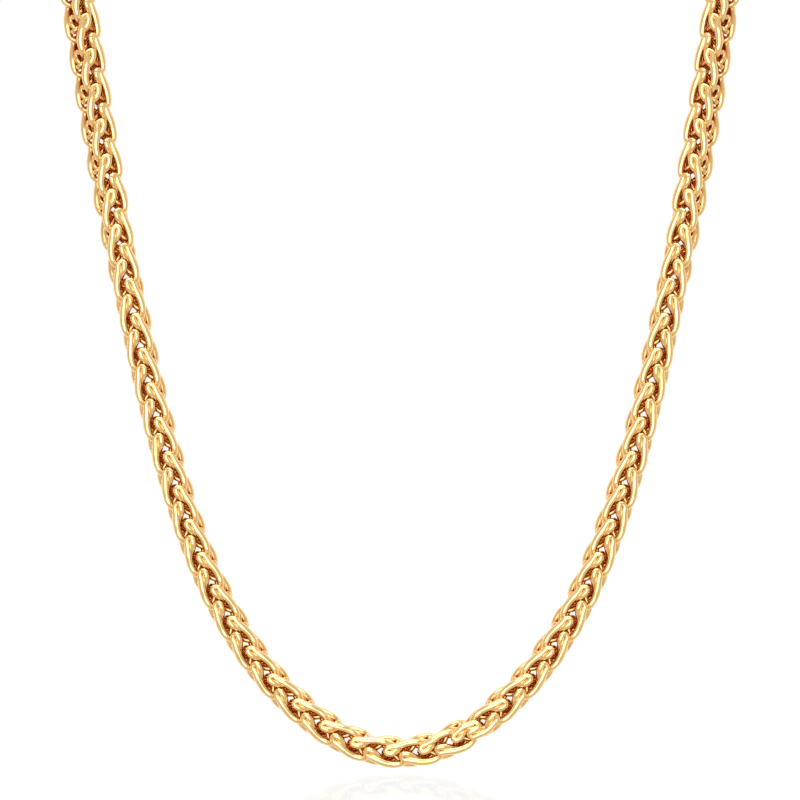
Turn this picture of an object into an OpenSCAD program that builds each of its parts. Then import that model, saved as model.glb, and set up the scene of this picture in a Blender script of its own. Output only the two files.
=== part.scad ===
// A wheat chain necklace: one whole loop, hung from the back of the neck.
// The loop lies in the X-Z plane, with its front towards -Y. Its origin is on the
// underside of the clasp, at the top of the loop, and the chain hangs down from there.
// The woven links are finer than this model, so each length of chain is its plain outer form.

/* [Chain] */
// Width of the woven chain
chain_w = 5; // [4:0.1:5.1]

/* [End caps] */
// Outside diameter of the cup that the end of the chain is soldered into
cap_d = 6.2; // [5.9:0.1:7]
// Inside diameter of the cup
cup_d = 5.3; // [5.2:0.05:5.5]
// Depth of the cup
cup_depth = 2.4; // [1.5:0.1:2.6]
// Length of the cap, without its ring
cap_l = 4.6; // [4.2:0.1:5.2]
// Diameter of the wire of the cap's ring
ring_wire = 0.9; // [0.8:0.05:1]
// Diameter of the cap's ring, from wire centre to wire centre
ring_d = 3.6; // [3.5:0.1:3.8]

/* [Clasp] */
// Length of the clasp
clasp_l = 13.1; // [12:0.1:14]
// Thickness of the clasp
clasp_t = 2; // [1.6:0.1:2.1]
// Width of the bars round the clasp's two openings
clasp_bar = 1.1; // [0.9:0.05:1.2]
// Diameter of the clasp's wide end
claw_d = 6.2; // [5.6:0.1:6.6]
// Diameter of the clasp's narrow end
heel_d = 4.4; // [4.2:0.1:4.8]
// Bevel round the clasp's edges
clasp_bevel = 0.3; // [0.2:0.05:0.4]

/* [Hidden] */
gold = "#F2C46D";
tube_sides = 12;
round_fn = 64;
// Clear space between two pieces that meet end to end
meet_gap = 0.1;
// Height of the middle of the chain above the origin, where the loop is level at its top
top_z = clasp_t / 2;
// Distance from the middle of the loop to the bar at each end of the clasp
bar_x = (clasp_l - clasp_bar) / 2;
// The closed end of a cap, sunk into its ring as soldered metal is
cap_x = bar_x + ring_d / 2 - ring_wire / 3;
cup_floor_x = cap_x + cap_l - cup_depth;
// Thickness of the bead round the cup's mouth
bead_d = 0.8;
// The cap narrows from the cup to this diameter at its closed end
cap_nose_d = 2.6;
cap_nose_l = 1.5;
// How much the radius of the claw's opening drops towards the heel
claw_taper = 0.7;
// Width of the bar between the heel's eye and the claw's opening
waist = 1.2;

// The middle line of half the loop, as [x, z], from the cap down to the lowest point.
// The last 17 rows are the stretch that shows in front; the rows before them close the loop
// with a rise on each side and a round back.
HALF_ROUTE = [
    [cup_floor_x + meet_gap, top_z],
    [13.7, top_z],
    [24.5, -0.4],
    [34.7, -4.6],
    [43.4, -11.3],
    [50.1, -20],
    [54.3, -30.1],
    [55.7, -41],
    [55.1, -53],
    [54, -63],
    [52.6, -73],
    [51.1, -83],
    [49.5, -93],
    [47.8, -103],
    [46, -113],
    [44, -123],
    [41.9, -133],
    [39.5, -143],
    [36.7, -153],
    [33.3, -163],
    [28.8, -173],
    [22.3, -183],
    [17.4, -188.2],
    [13, -191.8],
    [8.6, -194.4],
    [4.3, -195.9],
    [0, -196.4]
];
LAST_ROW = len(HALF_ROUTE) - 1;
// The whole middle line, from the left cap round the front to the right cap
ROUTE = concat(
    [for (p = HALF_ROUTE) [-p[0], p[1]]],
    [for (i = [LAST_ROW - 1 : -1 : 0]) HALF_ROUTE[i]]
);
// The row of ROUTE where the two lengths of chain meet, a little right of the middle
MEET_ROW = LAST_ROW + 2;

function unit(v) = v / norm(v);

// Direction of the route at row i
function along(i) = unit(ROUTE[min(i + 1, len(ROUTE) - 1)] - ROUTE[max(i - 1, 0)]);

// Middle of the ring at row i, drawn back by half the gap where the two lengths meet
function ring_middle(i, first) =
    ROUTE[i] + along(i) * (i != MEET_ROW ? 0 : (i == first ? 1 : -1) * meet_gap / 2);

// One ring of a length of chain, square to the route at row i
function tube_ring(i, first) = [
    for (k = [0 : tube_sides - 1])
        let (
            turn = 360 * k / tube_sides,
            side = chain_w / 2 * cos(turn),
            front = chain_w / 2 * sin(turn),
            middle = ring_middle(i, first)
        )
        [middle[0] - along(i)[1] * side, front, middle[1] + along(i)[0] * side]
];

// A closed tube of the chain's width along rows first to last of the route
module tube(first, last) {
    rings = last - first + 1;
    points = [for (i = [first : last]) each tube_ring(i, first)];
    walls = [
        for (i = [0 : rings - 2], k = [0 : tube_sides - 1])
            let (
                a = i * tube_sides + k,
                b = i * tube_sides + (k + 1) % tube_sides
            )
            each [[a, b, b + tube_sides], [a, b + tube_sides, a + tube_sides]]
    ];
    start_face = [for (k = [tube_sides - 1 : -1 : 0]) k];
    end_face = [for (k = [0 : tube_sides - 1]) (rings - 1) * tube_sides + k];
    polyhedron(points, concat(walls, [start_face, end_face]), convexity = 6);
}

module chain_left() {
    color(gold) tube(0, MEET_ROW);
}

module chain_right() {
    color(gold) tube(MEET_ROW, len(ROUTE) - 1);
}

// Half the outline of a cap as [radius, height above the closed end], turned about the axis
module cap_outline() {
    polygon([
        [0, 0],
        [cap_nose_d / 2, 0],
        [cap_d / 2, cap_nose_l],
        [cap_d / 2, cap_l],
        [cup_d / 2, cap_l],
        [cup_d / 2, cap_l - cup_depth],
        [0, cap_l - cup_depth]
    ]);
    translate([cap_d / 2, cap_l - bead_d / 2]) circle(d = bead_d, $fn = round_fn);
}

// The cap on the right, soldered to the ring that the clasp holds
module end_cap() {
    color(gold) union() {
        translate([cap_x, 0, top_z]) rotate([0, 90, 0])
            rotate_extrude($fn = round_fn) cap_outline();
        translate([bar_x, 0, top_z]) rotate([90, 0, 0])
            rotate_extrude($fn = round_fn)
                translate([ring_d / 2, 0]) circle(d = ring_wire, $fn = round_fn);
    }
}

module end_cap_right() {
    end_cap();
}

module end_cap_left() {
    mirror([1, 0, 0]) end_cap();
}

// Two discs joined by the straight lines that touch both: the outline of a tapered bar
module tapered_bar(x1, r1, x2, r2, h) {
    lean = asin((r1 - r2) / (x2 - x1));
    touch = [sin(lean), cos(lean)];
    a = [x1, 0] + r1 * touch;
    b = [x2, 0] + r2 * touch;
    translate([x1, 0, 0]) cylinder(r = r1, h = h, $fn = round_fn);
    translate([x2, 0, 0]) cylinder(r = r2, h = h, $fn = round_fn);
    linear_extrude(h) polygon([a, b, [b[0], -b[1]], [a[0], -a[1]]]);
}

// The clasp's solid form, drawn in all round by `inset`
module clasp_blank(inset, h) {
    tapered_bar(
        (heel_d - clasp_l) / 2, heel_d / 2 - inset,
        (clasp_l - claw_d) / 2, claw_d / 2 - inset,
        h
    );
}

// One plain piece: an eye at the left for one cap's ring, and a long opening for the other's
module clasp() {
    eye_x = (heel_d - clasp_l) / 2;
    claw_x = (clasp_l - claw_d) / 2;
    claw_r = claw_d / 2 - clasp_bar;
    eye_r = heel_d / 2 - clasp_bar;
    slot_r = claw_r - claw_taper;
    color(gold) difference() {
        union() {
            clasp_blank(clasp_bevel, clasp_t);
            translate([0, 0, clasp_bevel]) clasp_blank(0, clasp_t - 2 * clasp_bevel);
        }
        translate([eye_x, 0, -1]) cylinder(r = eye_r, h = clasp_t + 2, $fn = round_fn);
        translate([0, 0, -1])
            tapered_bar(eye_x + eye_r + waist + slot_r, slot_r, claw_x, claw_r, clasp_t + 2);
    }
}

chain_left();
chain_right();
end_cap_left();
end_cap_right();
clasp();
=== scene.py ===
"""A wheat chain necklace of gold-plated brass wire, hung as one loop from its clasp."""
import math

import bpy
import numpy as np
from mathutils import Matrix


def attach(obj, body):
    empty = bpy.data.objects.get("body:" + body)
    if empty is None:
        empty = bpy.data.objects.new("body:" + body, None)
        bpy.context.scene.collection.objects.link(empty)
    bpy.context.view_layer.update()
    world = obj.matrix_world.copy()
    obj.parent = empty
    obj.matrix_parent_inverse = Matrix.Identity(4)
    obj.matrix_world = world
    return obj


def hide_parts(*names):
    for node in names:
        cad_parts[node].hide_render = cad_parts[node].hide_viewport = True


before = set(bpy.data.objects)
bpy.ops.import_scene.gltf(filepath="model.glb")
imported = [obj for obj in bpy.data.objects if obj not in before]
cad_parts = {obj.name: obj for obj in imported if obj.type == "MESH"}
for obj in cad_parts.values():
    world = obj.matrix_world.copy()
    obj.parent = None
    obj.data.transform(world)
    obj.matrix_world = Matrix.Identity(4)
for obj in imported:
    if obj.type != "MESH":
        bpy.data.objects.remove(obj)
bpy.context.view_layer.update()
scene = bpy.context.scene

# Camera: straight on with a long lens, and a frame that crops the loop at the shoulders
FRAME_WIDTH = 0.1311
FRAME_MIDDLE_Z = -0.1386
LENS = 135
SENSOR = 36

lens = bpy.data.cameras.new("camera")
lens.lens = LENS
lens.sensor_width = SENSOR
lens.clip_start = 0.01
lens.clip_end = 20
camera = bpy.data.objects.new("camera", lens)
camera.location = (0, -FRAME_WIDTH * LENS / SENSOR, FRAME_MIDDLE_Z)
camera.rotation_euler = (math.radians(90), 0, 0)
scene.collection.objects.link(camera)
scene.camera = camera


# Materials
def linear(hex_colour):
    """An sRGB hex colour as the linear colour that Blender works in."""
    channels = [int(hex_colour[i:i + 2], 16) / 255 for i in (1, 3, 5)]
    return [c / 12.92 if c <= 0.04045 else ((c + 0.055) / 1.055) ** 2.4 for c in channels] + [1]


def add(material, kind, settings=None, **sources):
    """Adds a node with its settings, and links its sockets from the nodes given for them."""
    node = material.node_tree.nodes.new(kind)
    for name, value in (settings or {}).items():
        if name in node.inputs:
            node.inputs[name].default_value = value
        else:
            setattr(node, name, value)
    for name, source in sources.items():
        output = source if isinstance(source, bpy.types.NodeSocket) else source.outputs[0]
        material.node_tree.links.new(output, node.inputs[name.replace("_", " ")])
    return node


def new_material(name):
    """An empty material, for its nodes to be added to."""
    material = bpy.data.materials.new(name)
    material.use_nodes = True
    material.node_tree.nodes.clear()
    return material


def plated_wire():
    """Gold plate on drawn brass wire, tumbled to a soft mirror polish, with red-brown shade painted
    into the weave.
    """
    gold = new_material("gold_plate_on_drawn_wire")
    place = add(gold, "ShaderNodeTexCoord").outputs["Object"]
    # The tumbling medium leaves soft dimples about 0.9 mm apart
    dimples = add(gold, "ShaderNodeTexNoise", {"Scale": 1 / 0.0009, "Detail": 1.0}, Vector=place)
    bump = add(gold, "ShaderNodeBump", {"Strength": 0.2, "Distance": 0.00002}, Height=dimples)
    # Handling haze in patches about 2 mm across
    haze = add(gold, "ShaderNodeTexNoise", {"Scale": 1 / 0.002, "Detail": 2.0}, Vector=place)
    dull = add(gold, "ShaderNodeMapRange", {"To Min": 0.12, "To Max": 0.2}, Value=haze)
    # Painted shade and painted warm reflection: deep in the weave the gold colour is mixed towards
    # red-brown
    painted_shade = add(gold, "ShaderNodeAttribute", {"attribute_name": "painted_shade"}).outputs["Fac"]
    gold_and_painted_shade = add(gold, "ShaderNodeMixRGB", {
        "Color1": linear("#F9D99E"),
        "Color2": linear("#CC7E34"),
    }, Fac=painted_shade)
    metal = add(gold, "ShaderNodeBsdfPrincipled", {"Metallic": 1.0},
                Base_Color=gold_and_painted_shade, Roughness=dull, Normal=bump)
    add(gold, "ShaderNodeOutputMaterial", Surface=metal)
    return gold


def plated_fitting():
    """Gold plate on cast brass, buffed on a wheel, which gives it a soft shine with a fine grain."""
    gold = new_material("gold_plate_on_cast_brass")
    place = add(gold, "ShaderNodeTexCoord").outputs["Object"]
    # Handling haze in patches about 2 mm across
    haze = add(gold, "ShaderNodeTexNoise", {"Scale": 1 / 0.002, "Detail": 2.0}, Vector=place)
    dull = add(gold, "ShaderNodeMapRange", {"To Min": 0.12, "To Max": 0.2}, Value=haze)
    # Buffing grain is finer than this, and is drawn about 0.3 mm wide so that it shows
    grain = add(gold, "ShaderNodeTexNoise", {"Scale": 1 / 0.0003, "Detail": 1.0}, Vector=place)
    bump = add(gold, "ShaderNodeBump", {"Strength": 0.2, "Distance": 0.00001}, Height=grain)
    metal = add(gold, "ShaderNodeBsdfPrincipled", {"Metallic": 1.0, "Base Color": linear("#F9D99E")},
                Roughness=dull, Normal=bump)
    add(gold, "ShaderNodeOutputMaterial", Surface=metal)
    return gold


def lit_wall():
    """White backdrop paper, lit until it is pure white."""
    paper = new_material("lit_white_paper")
    glow = add(paper, "ShaderNodeEmission", {"Color": linear("#FFFFFF"), "Strength": 1.0})
    add(paper, "ShaderNodeOutputMaterial", Surface=glow)
    return paper


def white_acrylic():
    """Cast white acrylic sheet, lit from inside, whose faint gloss mirrors the chain."""
    acrylic = new_material("white_acrylic")
    glow = add(acrylic, "ShaderNodeEmission", {"Color": linear("#FFFFFF"), "Strength": 1.02})
    gloss = add(acrylic, "ShaderNodeBsdfAnisotropic", {"Roughness": 0.08})
    sheet = add(acrylic, "ShaderNodeMixShader", {"Fac": 0.12})
    acrylic.node_tree.links.new(glow.outputs[0], sheet.inputs[1])
    acrylic.node_tree.links.new(gloss.outputs[0], sheet.inputs[2])
    add(acrylic, "ShaderNodeOutputMaterial", Surface=sheet)
    return acrylic


# The route of the chain, as in the CAD model: [x, z] in metres from the cap to the lowest point
HALF_ROUTE = [
    (0.0098, 0.001),
    (0.0137, 0.001),
    (0.0245, -0.0004),
    (0.0347, -0.0046),
    (0.0434, -0.0113),
    (0.0501, -0.02),
    (0.0543, -0.0301),
    (0.0557, -0.041),
    (0.0551, -0.053),
    (0.054, -0.063),
    (0.0526, -0.073),
    (0.0511, -0.083),
    (0.0495, -0.093),
    (0.0478, -0.103),
    (0.046, -0.113),
    (0.044, -0.123),
    (0.0419, -0.133),
    (0.0395, -0.143),
    (0.0367, -0.153),
    (0.0333, -0.163),
    (0.0288, -0.173),
    (0.0223, -0.183),
    (0.0174, -0.1882),
    (0.013, -0.1918),
    (0.0086, -0.1944),
    (0.0043, -0.1959),
    (0, -0.1964),
]
LEFT_TO_RIGHT = [(-x, z) for x, z in HALF_ROUTE] + HALF_ROUTE[-2::-1]
MM_PER_M = 1000
# Points that a smooth curve has from each point of its table to the next
CURVE_STEPS = 40

# One link, in mm: the middle of its wire as [along the chain, to the side, towards the front]
# and the wire's thickness. Where it shows, the wire is drawn thicker, because there the real one
# is pressed flatter and so looks wider. Inside the weave it is drawn thinner, to leave room.
PITCH = 5.8
LINK = [
    (-0.10, 0.26, 1.92, 0.98),
    (-0.02, 0.62, 1.84, 1.00),
    (0.28, 0.93, 1.76, 1.04),
    (0.80, 1.04, 1.76, 1.10),
    (1.40, 1.14, 1.78, 1.18),
    (2.05, 1.33, 1.76, 1.26),
    (2.70, 1.50, 1.68, 1.30),
    (3.40, 1.65, 1.58, 1.28),
    (4.10, 1.74, 1.50, 1.22),
    (4.80, 1.74, 1.50, 1.14),
    (5.36, 1.66, 1.52, 1.04),
    (5.80, 1.56, 1.30, 0.96),
    (6.16, 1.28, 0.94, 0.90),
    (6.52, 0.76, 0.74, 0.86),
    (6.88, 0.14, 0.76, 0.84),
    (7.26, -0.40, 0.86, 0.84),
    (7.64, -0.78, 0.92, 0.84),
    (7.98, -1.12, 0.84, 0.84),
    (8.14, -1.52, 0.50, 0.84),
    (8.06, -1.60, -0.02, 0.84),
    (7.82, -1.30, -0.36, 0.82),
    (7.46, -0.86, -0.36, 0.80),
    (7.06, -0.46, -0.06, 0.76),
    (6.64, -0.04, 0.26, 0.74),
    (6.20, 0.36, 0.34, 0.74),
    (5.74, 0.70, 0.26, 0.76),
    (5.26, 0.90, 0.20, 0.78),
    (4.82, 1.04, 0.20, 0.80),
    (4.40, 1.22, 0.28, 0.82),
    (3.98, 1.40, 0.40, 0.86),
    (3.50, 1.48, 0.60, 0.92),
    (3.05, 1.36, 0.82, 1.00),
    (2.60, 1.10, 1.08, 1.06),
    (2.15, 0.76, 1.42, 1.06),
    (1.70, 0.43, 1.74, 1.06),
    (1.20, 0.16, 1.96, 1.04),
    (0.65, 0.00, 2.06, 1.00),
    (0.18, 0.00, 2.04, 0.98),
]
WIRE_SIDES = 12
WIRE_RINGS = 84
# The first rows of the table and the last ones make the end that the next link's hooks pass through
END_ROWS = 5
RETURN_ROWS = 4
# The middles of the two legs of the link that joins the halves: [side, front, thickness]
CLOSING_OUTER_LEG = (1.3, 1.8, 1.2)
CLOSING_INNER_LEG = (0.75, 1.4, 1)
# The outer row of links lags the inner one by this share of the pitch
LAG = 0.44
# The links at the back lie a little wider apart than those in front, and further back by this, in mm
BACK_SPREAD = 1.1
BACK_LEAD = 0.25
# Where the last inner link of the left half starts, in mm along the chain from the floor of its cup
LAST_INNER = 247.6
# The right half is the mirror image of the left, and this many links shorter
FEWER_ON_RIGHT = 3
# A link that starts further past the floor of the cup than this, in mm, would be all sunk in solder
LONGEST_REACH = 7.5
# Closer to the floor of the cup than this, in mm, the links are pressed to this share of their length
PRESSED_FROM = 1
PRESSED_SHARE = 0.1
# How the cup draws the weave in: [mm from its floor, share of the weave's width]
CUP_HOLD = [(0, 0.93), (3, 0.93), (9, 1)]
# Depth of the top edge of the camera's frame under the clasp, in mm
TOP_EDGE_DEPTH = 73
# The weave's turn about the chain's own axis: [mm along the chain past that edge, degrees]
AXIS_TURN = [(-60, 40), (0, 38), (28, 26), (52, 0)]
# Painted shade starts where the wire is this far from the chain's axis, and is full this much deeper,
# in mm
OUTSIDE_RADIUS = 2.15
INSIDE_DEPTH = 1.1
# How strongly a surface that faces the axis gets painted shade, whatever its distance
FACING_SHARE = 1.3


def curve_through(points, closed):
    """A smooth curve through the points, as a fine run of points."""
    points = np.array(points, float)
    if closed:
        points = np.vstack([points, points[:1]])
    # This power keeps the curve from swinging wide where close points follow distant ones
    step = np.linalg.norm(np.diff(points, axis=0), axis=1) ** 0.75
    rise = np.diff(points, axis=0) / step[:, None]
    count = len(points)
    weights = np.zeros((count, count))
    target = np.zeros(points.shape)
    for i in range(1, count - 1):
        weights[i, i - 1:i + 2] = 1 / step[i - 1], 2 / step[i - 1] + 2 / step[i], 1 / step[i]
        target[i] = 3 * (rise[i - 1] / step[i - 1] + rise[i] / step[i])
    if closed:
        weights[0, [-2, 0, 1]] = 1 / step[-1], 2 / step[-1] + 2 / step[0], 1 / step[0]
        target[0] = 3 * (rise[-1] / step[-1] + rise[0] / step[0])
        weights[-1, [0, -1]] = 1, -1
    else:
        weights[0, :2] = 2, 1
        weights[-1, -2:] = 1, 2
        target[0] = 3 * rise[0]
        target[-1] = 3 * rise[-1]
    slope = np.linalg.solve(weights, target)
    t = np.linspace(0, 1, CURVE_STEPS, endpoint=False)[:, None]
    run = []
    for i in range(count - 1):
        run.append(
            points[i] * (2 * t ** 3 - 3 * t ** 2 + 1)
            + points[i + 1] * (3 * t ** 2 - 2 * t ** 3)
            + slope[i] * step[i] * (t ** 3 - 2 * t ** 2 + t)
            + slope[i + 1] * step[i] * (t ** 3 - t ** 2)
        )
    return np.vstack(run + [points[-1:]])


def distances(run):
    """How far along the run each of its points is."""
    return np.r_[0, np.cumsum(np.linalg.norm(np.diff(run, axis=0), axis=1))]


def spaced(run, count):
    """The run as this many points at equal distances."""
    far = distances(run)
    at = np.linspace(0, far[-1], count, endpoint=False)
    return np.stack([np.interp(at, far, run[:, k]) for k in range(run.shape[1])], 1)


def unit(vectors):
    """The vectors at length 1."""
    return vectors / np.linalg.norm(vectors, axis=-1, keepdims=True)


def read_off(at, table):
    """The second column of a short table, read at values of its first."""
    return np.interp(at, [row[0] for row in table], [row[1] for row in table])


def closing_link(length):
    """The table of the link that joins the halves, with a link's first end at both of its ends."""
    start = LINK[-RETURN_ROWS:] + LINK[:END_ROWS]
    end = [(length - along, side, front, thick) for along, side, front, thick in reversed(start)]
    return start + [(length / 2, *CLOSING_OUTER_LEG)] + end + [(length / 2, *CLOSING_INNER_LEG)]


def bent_wire(table):
    """One link of round wire, as it lies in a straight chain: points in mm, one row a ring."""
    run = spaced(curve_through(table, True), WIRE_RINGS)
    middle = run[:, :3]
    radius = run[:, 3] / 2
    along = unit(np.roll(middle, -1, 0) - np.roll(middle, 1, 0))
    across = unit(np.cross(along[0], (0, 0, 1)))
    frames = []
    for direction in list(along) + [along[0]]:
        across = unit(across - direction * across.dot(direction))
        frames.append(across)
    # The rings are turned evenly, so that the last one meets the first
    twist = math.atan2(
        np.cross(frames[0], frames[-1]).dot(along[0]),
        frames[0].dot(frames[-1]),
    )
    rings = []
    for i, direction in enumerate(along):
        other = np.cross(direction, frames[i])
        turn = 2 * math.pi * np.arange(WIRE_SIDES) / WIRE_SIDES - twist * i / WIRE_RINGS
        rings.append(
            middle[i]
            + radius[i] * np.cos(turn)[:, None] * frames[i]
            + radius[i] * np.sin(turn)[:, None] * other
        )
    return np.array(rings)


ROUTE_RUN = curve_through(LEFT_TO_RIGHT, False) * MM_PER_M
ROUTE_FAR = distances(ROUTE_RUN)
ROUTE_WAY = unit(np.gradient(ROUTE_RUN, ROUTE_FAR, axis=0))
LEFT_HALF = slice(0, len(ROUTE_RUN) // 2)
# Where the left half passes the top edge of the frame, in mm along the chain
TOP_EDGE_FAR = np.interp(TOP_EDGE_DEPTH, -ROUTE_RUN[LEFT_HALF, 1], ROUTE_FAR[LEFT_HALF])


def laid(points, row, start):
    """Lays a link's points along the left half of the route, as x, y, z in metres."""
    far = points[..., 0] + start
    side = points[..., 1]
    front = points[..., 2]
    if "outer" in row:
        side = -side
    if "back" in row:
        side = -side * BACK_SPREAD
        front = -front
        far = far - BACK_LEAD
    side = side * read_off(far, CUP_HOLD)
    front = front * read_off(far, CUP_HOLD)
    far = np.where(far < PRESSED_FROM, PRESSED_FROM + PRESSED_SHARE * (far - PRESSED_FROM), far)
    turn = np.radians(read_off(far - TOP_EDGE_FAR, AXIS_TURN))
    inward = side * np.cos(turn) + front * np.sin(turn)
    forward = front * np.cos(turn) - side * np.sin(turn)
    middle = [np.interp(far, ROUTE_FAR, ROUTE_RUN[:, k]) for k in range(2)]
    way = [np.interp(far, ROUTE_FAR, ROUTE_WAY[:, k]) for k in range(2)]
    return np.stack([
        middle[0] - way[1] * inward,
        -forward,
        middle[1] + way[0] * inward,
    ], -1) / MM_PER_M


def painted_shade_amount(wire):
    """How much painted shade each point of a link gets, from 0 to 1: more where it is turned to the
    chain's axis or sunk near it.
    """
    middle = wire.mean(axis=1, keepdims=True)
    facing = (unit(wire - middle)[..., 1:] * unit(-middle[..., 1:])).sum(-1)
    sunk = (OUTSIDE_RADIUS - np.hypot(wire[..., 1], wire[..., 2])) / INSIDE_DEPTH
    return np.clip(np.maximum(sunk, FACING_SHARE * facing), 0, 1)


def wire_faces():
    """The faces of one link, over its rings and the points of each ring."""
    a = np.arange(WIRE_RINGS * WIRE_SIDES).reshape(WIRE_RINGS, WIRE_SIDES)
    b = np.roll(a, -1, 0)
    return np.stack([a, np.roll(a, -1, 1), np.roll(b, -1, 1), b], -1).reshape(-1, 4)


def woven_links(name, node, rows, mirror):
    """One piece of woven links along half the loop, which stands for that half's CAD node."""
    points = []
    painted_shade = []
    faces = []
    for row in rows:
        outer = "outer" in row
        last = LAST_INNER + LAG * PITCH * outer
        start = last - PITCH * (FEWER_ON_RIGHT + outer) * mirror
        count = math.ceil((start + LONGEST_REACH) / PITCH)
        wires = [bent_wire(LINK)] * count
        if mirror:
            gap = ROUTE_FAR[-1] - last - start
            wires[0] = bent_wire(closing_link(gap - PITCH))
        # Each mirroring turns a link's surface inside out, so its faces are turned back
        shell = wire_faces() if outer == mirror else wire_faces()[:, ::-1]
        for i, wire in enumerate(wires):
            faces.append(shell + len(points) * WIRE_RINGS * WIRE_SIDES)
            points.append(laid(wire, row, start - i * PITCH))
            # The painted shade of each point of this link
            painted_shade.append(painted_shade_amount(wire))
    points = np.array(points)
    if mirror:
        points[..., 0] *= -1
    mesh = bpy.data.meshes.new(name)
    mesh.from_pydata(points.reshape(-1, 3), [], np.concatenate(faces))
    # Each point's painted shade goes with the mesh, for the wire material's red-brown tint
    mesh.attributes.new("painted_shade", "FLOAT", "POINT").data.foreach_set("value", np.array(painted_shade).ravel())
    mesh.shade_smooth()
    mesh.materials.append(WIRE_PLATE)
    piece = bpy.data.objects.new(name, mesh)
    scene.collection.objects.link(piece)
    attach(piece, "root")
    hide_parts(node)


WIRE_PLATE = plated_wire()
FITTING_PLATE = plated_fitting()

woven_links("links_left_front", "chain_left", ["inner front", "outer front"], False)
woven_links("links_left_back", "chain_left", ["inner back", "outer back"], False)
woven_links("links_right_front", "chain_right", ["inner front", "outer front"], True)
woven_links("links_right_back", "chain_right", ["inner back", "outer back"], True)

for node in ("end_cap_left", "end_cap_right", "clasp"):
    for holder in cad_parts[node].material_slots:
        holder.material = FITTING_PLATE

# White sweep: a floor just under the chain that curves up into a wall behind it
SWEEP_HALF_WIDTH = 1.8
FLOOR_Z = -0.1996
FLOOR_FRONT_Y = -3
BEND_Y = 1.5
BEND_RADIUS = 0.3
BEND_STEPS = 8
WALL_TOP_Z = 1.5

profile = [(FLOOR_FRONT_Y, FLOOR_Z), (BEND_Y, FLOOR_Z)]
for step in range(1, BEND_STEPS + 1):
    angle = math.radians(90 * step / BEND_STEPS)
    profile.append((
        BEND_Y + BEND_RADIUS * math.sin(angle),
        FLOOR_Z + BEND_RADIUS * (1 - math.cos(angle)),
    ))
profile.append((BEND_Y + BEND_RADIUS, WALL_TOP_Z))
sweep_mesh = bpy.data.meshes.new("white_sweep")
sweep_mesh.from_pydata(
    [(x, y, z) for y, z in profile for x in (-SWEEP_HALF_WIDTH, SWEEP_HALF_WIDTH)],
    [],
    [(2 * i, 2 * i + 1, 2 * i + 3, 2 * i + 2) for i in range(len(profile) - 1)],
)
sweep_mesh.shade_smooth()
sweep_mesh.materials.append(white_acrylic())
sweep_mesh.materials.append(lit_wall())
# The floor is the first face, and the bend and the wall are the others
for face in sweep_mesh.polygons[1:]:
    face.material_index = 1
sweep = bpy.data.objects.new("white_sweep", sweep_mesh)
scene.collection.objects.link(sweep)
# The gold mirrors the white room instead of the glowing sweep, which would bleach it
sweep.visible_glossy = False

# Light: a white room, with softboxes for the cream streaks along the wires
LIGHTS_AIM = (0, 0, -0.13)


def softbox(name, place, width, height, watts):
    """A flat lamp of this size in metres, aimed at the middle of the necklace's front."""
    light = bpy.data.lights.new(name, "AREA")
    light.shape = "RECTANGLE"
    light.size = width
    light.size_y = height
    light.energy = watts
    holder = bpy.data.objects.new(name, light)
    holder.location = place
    aim = np.array(LIGHTS_AIM) - np.array(place)
    holder.rotation_euler = (
        math.atan2(math.hypot(aim[0], aim[1]), -aim[2]),
        0,
        math.atan2(aim[1], aim[0]) + math.radians(-90),
    )
    scene.collection.objects.link(holder)


softbox("softbox_front", (-0.1, -1.3, -0.1), 1.2, 1.1, 9.5)
softbox("softbox_top", (0, -0.3, 1.0), 1.4, 1.0, 10)

# The room is even at the front and sides, and lightest behind the necklace, where the backdrop is
room = bpy.data.worlds.new("white_room")
room.use_nodes = True
room.node_tree.nodes.clear()
way = add(room, "ShaderNodeTexCoord").outputs["Generated"]
depth = add(room, "ShaderNodeSeparateXYZ", Vector=way).outputs["Y"]
glow = add(room, "ShaderNodeMapRange", {"To Min": 0.74, "To Max": 1.4}, Value=depth)
air = add(room, "ShaderNodeBackground", {"Color": linear("#FFF4E6")}, Strength=glow)
add(room, "ShaderNodeOutputWorld", Surface=air)
scene.world = room
scene.view_settings.view_transform = "Standard"
